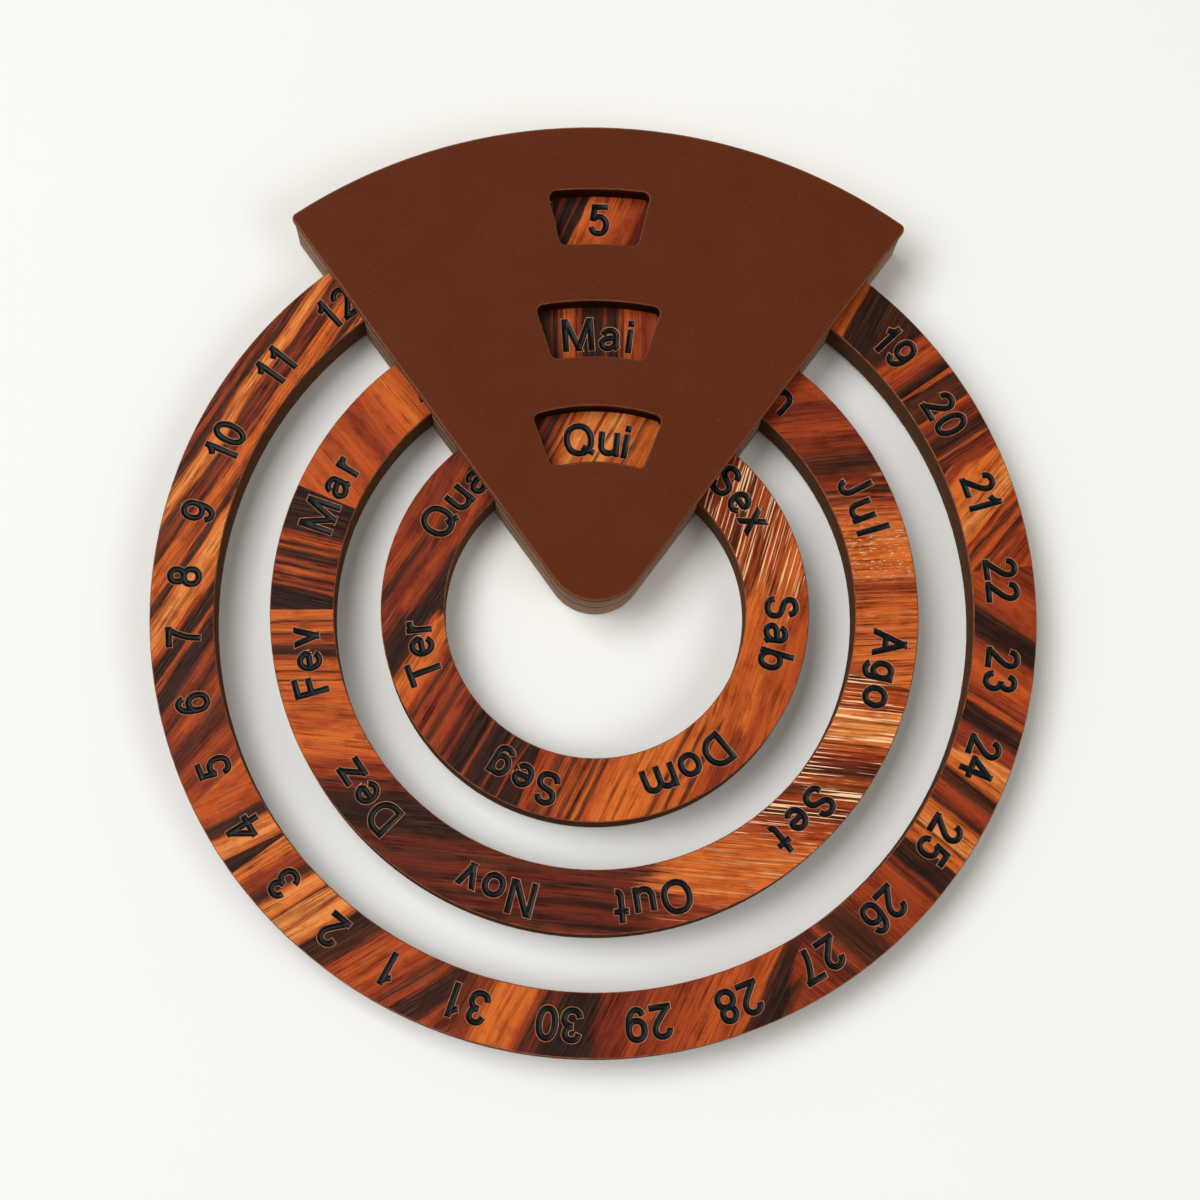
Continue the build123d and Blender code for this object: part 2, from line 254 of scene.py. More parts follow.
# Each strip is a place, or the places between which it keeps its tone, and the tone
LEAVES = {"day": [
    Leaf(-36, -16, 55, """-36 amber, -33 bark, -30 rust, -27 nut, -24 fire, -21 bark, -16 clay"""),
    Leaf(-16, 16, 68, """-16 nut, -9 -6.6 bark, -6 clay, -5.6 -4.4 coal, -4 clay, -3.7 -2.6 coal,
        -2.4 amber, -1 2 fire, 4 5.4 rust, 5.8 wine, 8 bark, 12 clay, 16 rust"""),
    Leaf(16, 47, 62, """16 rust, 20 clay, 24 fire, 28 rust, 33 nut, 36 wine, 38 clay, 38.6 fire,
        39.8 amber, 40.4 bark, 43 coal, 45 47 bark"""),
    Leaf(47, 54.5, 36, """46 48.2 bark, 48.8 clay, 49.6 rust, 50.8 fire, 51.8 rust, 52.6 clay, 53.4 bark,
        54.5 coal""", wave=0.6, soft=2),
    Leaf(54.5, 66, 34, """54.5 55 fire, 55.2 bark, 57 nut, 59 bark, 59.2 fire, 59.9 clay, 61.2 nut,
        61.8 clay, 62.4 63.4 bark, 64.4 nut, 64.7 fire, 65 bark, 66 clay""", wave=0.6),
    Leaf(66, 83.5, 51, """63 65.2 bark, 65.7 fire, 66.1 clay, 67 rust, 67.8 71 amber, 74.4 gold,
        75.6 amber, 76.2 clay, 77 fire, 77.6 bark, 78.6 rust, 79.4 fire, 80 bark, 80.9 clay, 81.6 fire,
        82.2 clay, 85 rust""", streak=1.2, soft=2),
    Leaf(83.5, 109.6, -32, """81 84.4 clay, 86 88.6 rust, 90.8 clay, 91.6 bark, 93.5 coal, 95.2 bark,
        96 clay, 97 rust, 99 fire, 101.6 rust, 102.8 clay, 103.2 bark, 103.5 fire, 104.2 rust, 104.6 bark,
        106.4 coal, 107.4 bark, 108 111 clay"""),
    Leaf(109.6, 125.2, -38, """108 amber, 111.4 gold, 114 amber, 114.9 bark, 116.4 nut, 117 rust,
        118.6 clay, 119.4 bark, 120.2 amber, 123 gold, 123.6 nut, 124 126.5 amber""", streak=1.2, soft=2),
    Leaf(125.2, 147, -40, """123 127 bark, 129.2 coal, 129.7 clay, 130.2 bark, 131 rust, 133.5 clay,
        136 rust, 138.6 clay, 139.6 nut, 141.5 bark, 143.4 nut, 144.4 rust, 145.2 bark, 148.5 clay""",
         wave=1.6, soft=1.5),
    Leaf(147, 176.8, 64, """143 rust, 148.6 clay, 150 bark, 153.4 coal, 156 nut, 156.8 fire, 160 rust,
        163 fire, 167 rust, 170 clay, 173 rust, 175 clay, 179 wine""", wave=1.8, soft=7),
    Leaf(176.8, 196.5, 62, """173 wine, 178.4 bark, 180 184.6 coal, 185.6 bark, 187 wine, 187.8 bark,
        189 rust, 190 194 amber, 196 clay, 200 bark""", wave=1.2, soft=5),
    Leaf(196.5, 232.7, 32, """193 fire, 198.6 rust, 199.6 bark, 201.6 coal, 203 bark, 204.2 rust,
        205.2 nut, 206.2 clay, 207.4 rust, 210 fire, 213.6 rust, 214.6 nut, 216.6 bark, 218.6 coal,
        219.2 fire, 220.2 221.6 gold, 221.9 rust, 222.3 223.8 gold, 224.1 nut, 224.5 amber, 225.8 gold,
        226.4 amber, 227.1 bark, 229 clay, 230.2 rust, 231 amber, 235 gold""", streak=1.2, soft=7),
    Leaf(232.7, 241.6, 27, """232 coal, 234 bark, 234.3 amber, 235.4 gold, 237 amber, 237.6 238.8 bark,
        239.4 rust, 240.6 242.5 fire""", wave=0.8),
    Leaf(241.6, 250.5, 48, """238 rust, 242.6 fire, 244 amber, 244.6 clay, 246.2 rust, 247 wine,
        248.2 rust, 249.6 clay, 251 bark, 253 clay""", wave=1.4, soft=3),
    Leaf(250.5, 324, 58, """74 rust, 80 clay, 83 nut, 86 rust, 88.6 fire, 91 bark, 94 rust, 97 coal,
        101 bark, 102.2 fire, 103.2 bark, 106.4 coal, 107.6 rust, 109 amber, 114 gold, 116.4 amber,
        117.2 bark, 118.6 nut, 119.4 fire, 122.6 amber, 124.2 fire, 124.9 bark, 126.2 clay, 129.4 nut,
        130.2 amber, 132.2 gold, 134.2 amber, 135 nut, 136.6 bark, 138 rust, 139.2 bark, 141 clay""",
         by_angle=False, wave=2.2, streak=1.5, soft=4),
], "month": [
    Leaf(-36, -24, -55, """-40 fire, -33 amber, -28 fire, -22 rust"""),
    Leaf(-24, 24, 91, """-24 rust, -15.4 clay, -12.6 rust, -11.8 -9.6 bark, -9.2 rust, -8.9 coal, -8 bark,
        -7.6 rust, -7.2 bark, -6.7 -4.8 fire, -4.4 bark, -3.6 rust, -3 bark, -1 coal, 1 bark, 1.4 clay,
        1.9 bark, 4 coal, 4.5 rust, 4.9 bark, 5.6 fire, 8 rust, 10 clay, 12 rust, 15 clay, 24 rust""",
         wave=0.6),
    Leaf(24, 60, 6, """20 rust, 32 clay, 38 41 rust, 44 wine, 47 clay, 49 rust, 52 wine, 54.5 clay,
        57 nut, 59 bark, 63 clay""", wave=2.4),
    Leaf(60, 103.9, 3, """55 nut, 60.4 bark, 60.9 fire, 61.3 clay, 62.6 nut, 63.1 fire, 63.5 65.2 bark,
        65.8 fire, 66.3 nut, 67.2 rust, 69 fire, 73 77 81 amber, 83.5 fire, 85 clay, 86.6 fire, 91 amber,
        94 fire, 98 amber, 101 fire, 103 105 amber""", wave=1.4, streak=1.4, cream=0.12, fleck=0.9, soft=5),
    Leaf(103.9, 136, -5, """101 nut, 103.8 bark, 105.2 rust, 106.8 108.4 fire, 109.4 clay, 110 amber,
        111.2 113.5 115 gold, 117.4 amber, 119 rust, 121 clay, 123.5 bark, 126 fire, 128 nut, 131 rust,
        134 nut, 137 rust, 141 fire, 150 amber""", wave=0.9, streak=1.3, cream=1.0),
    Leaf(136, 160, -5, """128 rust, 136 fire, 144 152 157 162 amber, 166 fire, 170 rust, 174 clay""",
         wave=1.4, streak=0.9, cream=0.22, soft=20),
    Leaf(160, 245, -5, """-104 clay, -100 bark, -97 wine, -94 bark, -91 wine, -88.5 bark, -86 wine,
        -83 nut, -80 wine, -77 bark, -73 coal, -69 -66 bark, -63.5 wine, -61.5 bark, -60 rust, -57 clay,
        -55 fire, -50 amber, -44 fire, -36 amber, -20 fire""", by_angle=False, wave=3.0, streak=1.2, soft=13),
    Leaf(245, 269, 1, """238 rust, 245.5 fire, 249 amber, 252.5 fire, 254.8 amber, 255.1 bark,
        255.5 amber, 256.6 fire, 256.9 bark, 257.3 amber, 259.2 fire, 260.2 bark, 262 nut, 262.6 fire,
        263.6 rust, 264.1 bark, 264.7 amber, 266.2 fire, 266.6 bark, 267.1 amber, 273 fire""",
         wave=1.2, streak=1.2, soft=9),
    Leaf(269, 292.2, -12, """266 bark, 268.6 272.6 coal, 273.2 rust, 273.8 bark, 274.6 rust, 275.2 bark,
        276 rust, 276.8 fire, 277.4 bark, 278.6 rust, 279.2 280.4 bark, 281 fire, 281.6 bark, 282.4 fire,
        283.6 rust, 284.4 bark, 288 coal, 295 bark""", wave=0.8, streak=1.4),
    Leaf(292.2, 324, -50, """288 297 fire, 300 rust, 303 fire, 306 rust, 307.6 clay, 309 rust, 313 fire,
        316 amber, 319 fire, 326 amber""", wave=1.8, streak=0.8),
], "weekday": [
    Leaf(-22, 22, 62, """8 13 amber, 15 nut, 15.8 amber, 18.4 rust, 19.2 amber, 22.6 gold, 23.4 bark,
        24 gold, 27 amber, 27.6 nut, 28.2 amber, 30.5 gold, 33 amber, 35.2 fire, 35.8 bark, 36.6 amber,
        37.8 bark, 39.2 rust, 40 bark, 42 nut, 43 rust, 44 bark, 48 nut""",
         by_angle=False, wave=0.9, streak=0.9),
    Leaf(22, 70, 74, """-70 fire, -56 amber, -52 rust, -48 fire, -44 clay, -40 fire, -36 nut, -31 rust,
        -26 clay, -22 nut, -16 rust""", by_angle=False, wave=1.2, streak=1.6, cream=0.88),
    Leaf(70, 126, 72, """-70 rust, -64 fire, -60 rust, -56 amber, -52 fire, -46 amber, -40 rust""",
         by_angle=False, wave=2.0, soft=26),
    Leaf(126, 200.6, 64, """-69 amber, -65 fire, -62 rust, -59 clay, -56 rust, -53 fire, -51.6 bark,
        -50.4 amber, -48.6 fire, -47.6 bark, -46.6 amber, -44.6 fire, -43.8 bark, -42.8 -34 -30 amber,
        -26 fire, -24.6 bark, -23.8 amber, -21.8 bark, -20.6 fire, -19.4 nut, -17.6 fire, -15.4 bark,
        -14.2 fire, -12 nut, -9 rust, -4 clay""", by_angle=False, wave=0.9, soft=14),
    Leaf(200.6, 263, 60, """-22 coal, -9 bark, -4.6 coal, -4 rust, -3.4 bark, 0.8 coal, 1.4 rust, 2 coal,
        8 bark, 9.2 rust, 9.9 coal, 15 bark, 16.6 clay, 17.4 bark, 19.4 clay, 22 rust, 23.6 bark, 26 rust,
        27.8 wine, 30 rust, 31.6 bark, 33.4 rust, 35 fire, 36.6 41.4 amber, 43 rust, 44 bark, 47 coal,
        51 bark, 54 clay""", by_angle=False, wave=0.8, streak=1.3),
    Leaf(263, 286, 56, """34 amber, 38.5 fire, 40 bark, 43 coal, 46.5 bark, 48.5 clay, 51 rust, 53 wine,
        55 clay, 57 bark, 60 rust, 63 clay, 66 69 rust""", by_angle=False, wave=1.4, soft=9),
    Leaf(286, 338, 64, """40 rust, 44 clay, 47 wine, 50 rust, 52 clay, 54 wine, 56 bark, 58 rust, 60 clay,
        62 wine, 65 69 clay""", by_angle=False, wave=1.8, soft=14),
]}

WANDER = 2.6  # mm over which a strip's edge wanders at wave 1
FEATHER = 2.4  # mm over which its fibres run out
FLECK_MIDDLE = 0.56  # where the flecks lie, as a share of the way across a leaf's strips
SPREAD = 2.0  # how far a soft start runs out into streaks


def figure(wood, leaf, radius):
    """Figured veneer: strips of tone with wavy edges, streaks along the grain, clouds and pores.

    Returns its colour, its fine streaks, its pores and a slow noise for the runs of a soft start.
    """
    turned = wood.turn(wood.place, -leaf.grain)
    along, across, _ = wood.split(turned)

    def fibres(seed, slow, quick, detail=2.0, roughness=0.5):
        """Noise stretched along the grain: its frequencies along and across are per mm."""
        vector = wood.combine(wood.calc("MULTIPLY", along, slow), wood.calc("MULTIPLY", across, quick), seed)
        return wood.noise(vector, 1.0, detail, roughness)

    # The strips' edges wander slowly, and feather along the grain
    slow = fibres(leaf.start, 0.03, 0.07)
    quick = fibres(leaf.start, 0.08, 1.1, 4.0, 0.65)
    wander = wood.calc("MULTIPLY_ADD", slow, WANDER * leaf.wave, -WANDER / 2 * leaf.wave)
    feather = wood.calc("MULTIPLY_ADD", quick, FEATHER, -FEATHER / 2)
    shifted = wood.calc("ADD", wood.calc("ADD", across, wander), feather)
    stops = leaf.stops(radius - RING_WIDTH / 2)
    low = stops[0][0]
    high = stops[-1][0]
    factor = wood.remap(shifted, low, high)
    colour = wood.ramp(factor, [((at - low) / (high - low), tone) for at, tone in stops])

    # Streaks along the grain, darker and lighter, and clouds
    fine = fibres(leaf.end, 0.05, 1.6, 5.0, 0.72)
    place = wood.vector("ADD", turned, (0.0, 0.0, leaf.end))
    strength = wood.remap(wood.noise(place, 0.10), 0.38, 0.58, 0.35 * leaf.streak, leaf.streak)
    dark = wood.calc("MULTIPLY", wood.remap(fine, 0.51, 0.36, 0.0, 0.85), strength)
    light = wood.calc("MULTIPLY", wood.remap(fine, 0.51, 0.66, 0.0, 0.60), strength)
    band = wood.remap(fibres(leaf.end, 0.03, 0.42), 0.34, 0.50, 0.40 * leaf.streak, 0.0)
    cloud = wood.remap(wood.noise(place, (0.16, 0.30, 1.0), 4.0, 0.6), 0.50, 0.34, 0.0, 0.45)
    colour = wood.darken(dark, colour, STREAK_SHADE)
    colour = wood.darken(band, colour, BAND_SHADE)
    colour = wood.mix(light, colour, GLEAM, "SCREEN")
    colour = wood.darken(cloud, colour, CLOUD_SHADE)

    # Pale streaks with dark furrows between them, and short flecks, where the leaf has them
    if leaf.cream > 0:
        pale = fibres(leaf.start, 0.028, 1.3, 3.0, 0.6)
        colour = wood.darken(wood.remap(pale, 0.47, 0.38, 0.0, 0.65 * leaf.cream), colour, FURROW_SHADE)
        colour = wood.mix(wood.remap(pale, 0.56, 0.60, 0.0, leaf.cream), colour, TONES["cream"])
    if leaf.fleck > 0:
        spot = wood.remap(fibres(leaf.start, 0.34, 1.9, 2.0, 0.7), 0.60, 0.65)
        off_middle = wood.calc("ABSOLUTE", wood.calc("SUBTRACT", factor, FLECK_MIDDLE))
        near = wood.remap(off_middle, 0.03, 0.16, leaf.fleck, 0.0)
        colour = wood.mix(wood.calc("MULTIPLY", spot, near), colour, TONES["cream"])

    # Pores: short dark dashes
    pore = wood.remap(fibres(leaf.end, 0.8, 6.0, 2.0, 0.6), 0.63, 0.72, 0.0, 0.5)
    colour = wood.darken(pore, colour, PORE_SHADE)
    return colour, fine, pore, fibres(leaf.end, 0.02, 0.35, 3.0, 0.6)


def veneer_material(name, leaf, before, radius):
    """The figured veneer of a leaf, which may start softly out of the figure of the leaf before it."""
    wood = Surface(name)
    colour, fine, pore, runs = figure(wood, leaf, radius)
    if leaf.soft > 0:
        x, y, _ = wood.split(wood.turn(wood.place, leaf.start))
        reach = wood.calc("DIVIDE", wood.calc("ARCTAN2", x, y), radians(leaf.soft))
        delay = wood.remap(runs, 0.36, 0.64, 0.0, SPREAD)
        change = wood.calc("SUBTRACT", wood.calc("MULTIPLY", reach, 1 + SPREAD), delay, clamp=True)
        colour = wood.mix(change, figure(wood, before, radius)[0], colour)
    wood.finish(colour, wood.remap(fine, 0.2, 0.8, 0.50, 0.38), specular=0.07)
    wood.bump(wood.calc("SUBTRACT", fine, pore), 0.25, 0.00006)
    return wood.material


def edge_material():
    """The veneer's cut edge: mottled dark brown."""
    colours = display(66, 36, 24), display(112, 62, 40)
    return mottled("veneer_edge", ((0.4, 0.4, 3.0), 3.0), (0.0, 1.0), colours, 0.55, (0.15, 0.00005)).material


def bevel_highlight_material():
    """The eased edge round a ring's face, made a little lighter by a painted highlight."""
    colours = display(104, 48, 27), display(164, 88, 52)
    return mottled("veneer_bevel_highlight", (0.35, 3.0), (0.35, 0.65), colours, 0.42, (0.1, 0.00003)).material


def rim_material():
    """The chamfer round each routed letter, coloured a pale orange-brown."""
    colours = display(156, 92, 58), display(200, 130, 86)
    return mottled("letter_rim", (0.5, 3.0), (0.35, 0.65), colours, 0.5, (0.1, 0.00003)).material


def letter_material():
    """Glossy black paint that has settled in the grooves."""
    colours = display(5, 7, 8), display(11, 14, 16)
    grain, contrast, relief = (0.9, 3.0), (0.35, 0.65), (0.12, 0.00006)
    return mottled("letter_paint", grain, contrast, colours, (0.30, 0.40), relief, specular=0.14).material


# ---- lettering

# A glyph is a set of routed strokes. Each has a centre line, in units of the capitals' height between
# centre lines, and two flat ends, which are moved out by a number of half widths.

X_HEIGHT = 0.67
SLANT = 1.8  # how far a slanted stroke runs on, before the glyph's top and bottom cut it off
CURVE_STEPS = 3
OVAL_STEPS = 30
OVAL_POWER = 2.2


def bar(x, y, end_x, end_y, before=1.0, after=1.0):
    """A straight stroke."""
    return [(x, y), (end_x, end_y)], before, after


def bend(text, before=0.0, after=0.0):
    """A curved stroke through points, which are written in hundredths."""
    numbers = [float(word) / 100 for word in text.replace(",", " ").split()]
    points = list(zip(numbers[::2], numbers[1::2]))
    padded = [points[0], *points, points[-1]]
    curve = []
    for first, second, third, fourth in zip(padded, padded[1:], padded[2:], padded[3:]):
        for step in range(CURVE_STEPS):
            t = step / CURVE_STEPS
            curve.append(tuple(
                b + 0.5 * t * (c - a + t * (2 * a - 5 * b + 4 * c - d + t * (3 * b - a - 3 * c + d)))
                for a, b, c, d in zip(first, second, third, fourth)
            ))
    return curve + [points[-1]], before, after


def arc(x, y, width, height, start, end, steps=14):
    """Points on an ellipse about (x, y), counter-clockwise from +X, in degrees."""
    angles = [radians(start + (end - start) * step / steps) for step in range(steps + 1)]
    return [(x + width * cos(angle), y + height * sin(angle)) for angle in angles]


def oval(x, y, width, height):
    """A closed stroke, a little squarer than an ellipse."""
    points = []
    for cx, cy in arc(0, 0, 1, 1, 0, 360, OVAL_STEPS)[:-1]:
        reach = (abs(cx) ** OVAL_POWER + abs(cy) ** OVAL_POWER) ** (-1 / OVAL_POWER)
        points.append((x + width * cx * reach, y + height * cy * reach))
    return points, None, None


GLYPHS = {
    "0": [oval(0.27, 0.5, 0.27, 0.5)],
    "1": [bar(0.25, 0, 0.25, 1), bend("27 100, 19 88, 10 80, 0 75", 0, 0.2)],
    "2": [bend("1 73, 5 88, 15 97, 27 100, 40 97, 49 87, 51 74, 47 60, 37 45, 19 23, 0 0"),
        bar(0, 0, 0.53, 0)],
    "3": [bend("2 77, 8 92, 17 98.5, 27 100, 40 96, 48 85, 47 70, 38 57, 22 54"),
        bend("22 54, 39 51, 50 41, 53 27, 48 11, 37 2, 25 0, 12 3, 3 12, 0 25")],
    "4": [bar(0.44, 0, 0.44, 1), bar(0.44, 1, 0, 0.30, 0.35, 0), bar(0, 0.30, 0.60, 0.30)],
    "5": [bar(0.12, 1, 0.49, 1), bar(0.125, 1, 0.05, 0.50, 0.4, 0.3),
        bend("5 50, 14 60, 27 64, 41 60, 50 49, 53 33, 49 15, 39 3, 25 0, 12 3, 3 12, 0 25")],
    "6": [oval(0.265, 0.32, 0.265, 0.32), bend("50 79, 43 94, 30 100, 15 94, 5 77, 1 56, 0 34")],
    "7": [bar(0, 1, 0.52, 1), bend("52 100, 37 76, 25 46, 19 20, 17 0", 0, 1)],
    "8": [oval(0.265, 0.765, 0.22, 0.235), oval(0.265, 0.265, 0.265, 0.265)],
    "9": [oval(0.265, 0.68, 0.265, 0.32), bend("3 21, 10 6, 23 0, 38 6, 48 23, 52 44, 53 66")],
    "A": [bar(0, 0, 0.352, 1, SLANT, SLANT), bar(0.352, 1, 0.704, 0, SLANT, SLANT),
        bar(0.12, 0.34, 0.58, 0.34, 0, 0)],
    "D": [bar(0, 0, 0, 1), ([(0, 1)] + arc(0.24, 0.5, 0.46, 0.5, 90, -90, 20) + [(0, 0)], 0, 0)],
    "F": [bar(0, 0, 0, 1), bar(0, 1, 0.50, 1, 0, 1), bar(0, 0.52, 0.43, 0.52, 0, 1)],
    "J": [([(0.46, 1), (0.46, 0.6)] + arc(0.23, 0.26, 0.23, 0.26, 0, -176), 1, 0)],
    "M": [bar(0, 0, 0, 1), bar(0.046, 1, 0.455, 0, SLANT, SLANT), bar(0.455, 0, 0.864, 1, SLANT, SLANT),
        bar(0.91, 1, 0.91, 0)],
    "N": [bar(0, 0, 0, 1), bar(0.09, 1, 0.63, 0, SLANT, SLANT), bar(0.72, 0, 0.72, 1)],
    "O": [oval(0.43, 0.5, 0.43, 0.5)],
    "Q": [oval(0.43, 0.5, 0.43, 0.5), bar(0.52, 0.23, 0.92, -0.03, 0, 0)],
    "S": [bend("58 75, 53 90, 42 98, 30 100, 15 96, 6 86, 5 72, 14 60, 31 53, 50 46, 60 34, 60 17, 50 4, "
             "33 0, 16 2, 4 12, 0 27")],
    "T": [bar(0, 1, 0.62, 1), bar(0.31, 1, 0.31, 0, 0, 1)],
    "a": [bend("4 48, 11 61, 25 67, 39 65, 49 56, 50 42, 50 22, 52 7, 57 0", 0, 0.2),
        bend("50 41, 30 38, 12 34, 1 24, 2 10, 11 1, 24 0, 38 6, 50 20")],
    "b": [bar(0, 0, 0, 1), oval(0.27, 0.335, 0.27, 0.335)],
    "e": [bar(0.02, 0.345, 0.55, 0.345, 0, 0), (arc(0.275, 0.335, 0.275, 0.335, 2, 322, 26), 0.9, 0)],
    "g": [oval(0.255, 0.36, 0.255, 0.31),
        ([(0.51, X_HEIGHT), (0.51, 0.2)] + arc(0.27, -0.04, 0.24, 0.20, 0, -160), 1, 0)],
    "i": [bar(0, 0, 0, X_HEIGHT), bar(0, 0.98, 0, 1)],
    "l": [bar(0, 0, 0, 1)],
    "m": [bar(0, 0, 0, X_HEIGHT), (arc(0.25, 0.42, 0.25, 0.25, 180, 0) + [(0.5, 0.2), (0.5, 0)], 0, 1),
        (arc(0.75, 0.42, 0.25, 0.25, 180, 0) + [(1, 0.2), (1, 0)], 0, 1)],
    "n": [bar(0, 0, 0, X_HEIGHT), (arc(0.26, 0.41, 0.26, 0.26, 180, 0) + [(0.52, 0.2), (0.52, 0)], 0, 1)],
    "o": [oval(0.30, 0.335, 0.30, 0.335)],
    "r": [bar(0, 0, 0, X_HEIGHT), bend("0 38, 5 55, 15 64, 29 65.5", 0, 0.3)],
    "t": [([(0.15, 0.96), (0.15, 0.4)] + arc(0.29, 0.16, 0.14, 0.16, 180, 270, 6) + [(0.33, 0)], 1, 0),
        bar(0, X_HEIGHT, 0.32, X_HEIGHT, 0.9, 0.9)],
    "u": [([(0, X_HEIGHT), (0, 0.5)] + arc(0.27, 0.26, 0.27, 0.26, 180, 360), 1, 0),
        bar(0.54, 0, 0.54, X_HEIGHT)],
    "v": [bar(0, X_HEIGHT, 0.23, 0, SLANT, SLANT), bar(0.23, 0, 0.46, X_HEIGHT, SLANT, SLANT)],
    "x": [bar(0, X_HEIGHT, 0.42, 0, SLANT, SLANT), bar(0, 0, 0.42, X_HEIGHT, SLANT, SLANT)],
    "z": [bar(0.02, X_HEIGHT, 0.53, X_HEIGHT), bar(0.53, X_HEIGHT, 0, 0, 0, 0), bar(0, 0, 0.55, 0)],
}
CUT_OFF = {"A": 1.0, "M": 1.0, "N": 1.0, "v": X_HEIGHT, "x": X_HEIGHT}

# Each label is its text, angle, shift outwards in mm and gap between letters in mm
LABELS = {
    "day": """5 0 -1.2 0, 16 11 0 1.1, 17 23.5 0 1.3, 18 35.6 0 1.1, 19 47.7 0.1 1.8, 20 59.8 -0.4 0.5,
        21 72 -0.5 0.6, 22 85.1 -0.4 0.8, 23 98 -0.3 0.9, 24 110.9 -0.2 0, 25 123.7 -0.3 1.1,
        26 136.2 0 0.4, 27 147.3 0 1.2, 28 159.8 0.6 0.8, 29 172.3 0.4 1, 30 184.4 0.1 0.8,
        31 196.9 -0.3 1.4, 1 208.5 -0.6 0, 2 218.1 -0.5 0, 3 227.4 -0.6 0, 4 236.7 -0.8 0, 5 246.2 -1 0,
        6 255.7 -0.6 0, 7 265.3 -0.4 0, 8 273.8 -0.2 0, 9 283.2 -0.5 0, 10 294 -0.6 1.4, 11 306.8 -0.8 2,
        12 319.3 -1.2 1.6, 13 330.6 -0.4 1.2, 14 341 0 0.8, 15 351 0 1.2""",
    "month": """Mai 0 -2.3 2, Jun 35.1 0 2.4, Jul 67.4 0 2.6, Ago 101.4 1.4 1.6, Set 135.4 0.4 1.8,
        Out 168.6 1.7 1.5, Nov 198.6 1.7 1.3, Dez 229.5 1 1.2, Fev 258.6 0.3 1.3, Mar 293.2 -0.1 2.1,
        Abr 327 0 1.4""",
    "weekday": """Qui 0 -2.4 1.3, Sex 51.6 1.5 1, Sab 97.1 1.4 1.4, Dom 150.1 1.5 1.3, Seg 202.1 1.5 1.1,
        Ter 255.4 -0.2 0.9, Qua 307.3 -0.4 1.3""",
}
CAP_HEIGHT = 9.1  # between the strokes' centre lines
HALF_WIDTH = 1.0  # of the strokes
RIM = 0.2
GROOVE = ((RIM, 0.0), (0.0, 0.12), (-0.5, 0.42), (-HALF_WIDTH, 0.52))  # (distance outside the paint, depth)
FAR = 99.0  # stands for any distance that isn't near
MARGIN = 3  # round a glyph, outside which its distance isn't worked out
DESCENT = 5  # the same below its base line
SHORT = 2.2  # half widths: a shorter stroke has no ridge
TINY = 1e-4  # mm or degrees, for what should be equal
MERGE = 1e-5  # mm within which the face's corners become one


def read_labels(ring):
    """The ring's labels, by rising angle."""
    labels = [label.split() for label in LABELS[ring].split(",")]
    return sorted(((text, *map(float, numbers)) for text, *numbers in labels), key=lambda label: label[1])


def polar(radius, angle):
    """The point in mm about the rings' axis, at an angle clockwise from the top."""
    return (radius * sin(radians(angle)), radius * cos(radians(angle)))


def angle_from(base, angle):
    """The way from one angle to another, between -180 and 180 degrees."""
    return (angle - base + 180) % 360 - 180


def distance(first, second):
    return hypot(second[0] - first[0], second[1] - first[1])


def moved_end(points, reach):
    """The polyline with its last end moved out by a reach, or cut back where the reach is negative."""
    points = list(points)
    while reach < 0 and len(points) > 2:
        length = distance(points[-2], points[-1])
        if length > -reach:
            break
        reach += length
        points.pop()
    (ax, ay), (bx, by) = points[-2:]
    length = distance(points[-2], points[-1])
    points[-1] = (bx + (bx - ax) / length * reach, by + (by - ay) / length * reach)
    return points


def moved_ends(points, before, after):
    return moved_end(moved_end(points, after)[::-1], before)[::-1]


def cut(loop, level, side):
    """The part of a loop below (side 1) or above (side -1) a level."""
    kept = []
    for (ax, ay), (bx, by) in zip(loop, loop[1:] + loop[:1]):
        inside = side * (level - ay)
        following = side * (level - by)
        if inside >= 0:
            kept.append((ax, ay))
        if inside * following < 0:
            share = inside / (inside - following)
            kept.append((ax + (bx - ax) * share, level))
    return kept


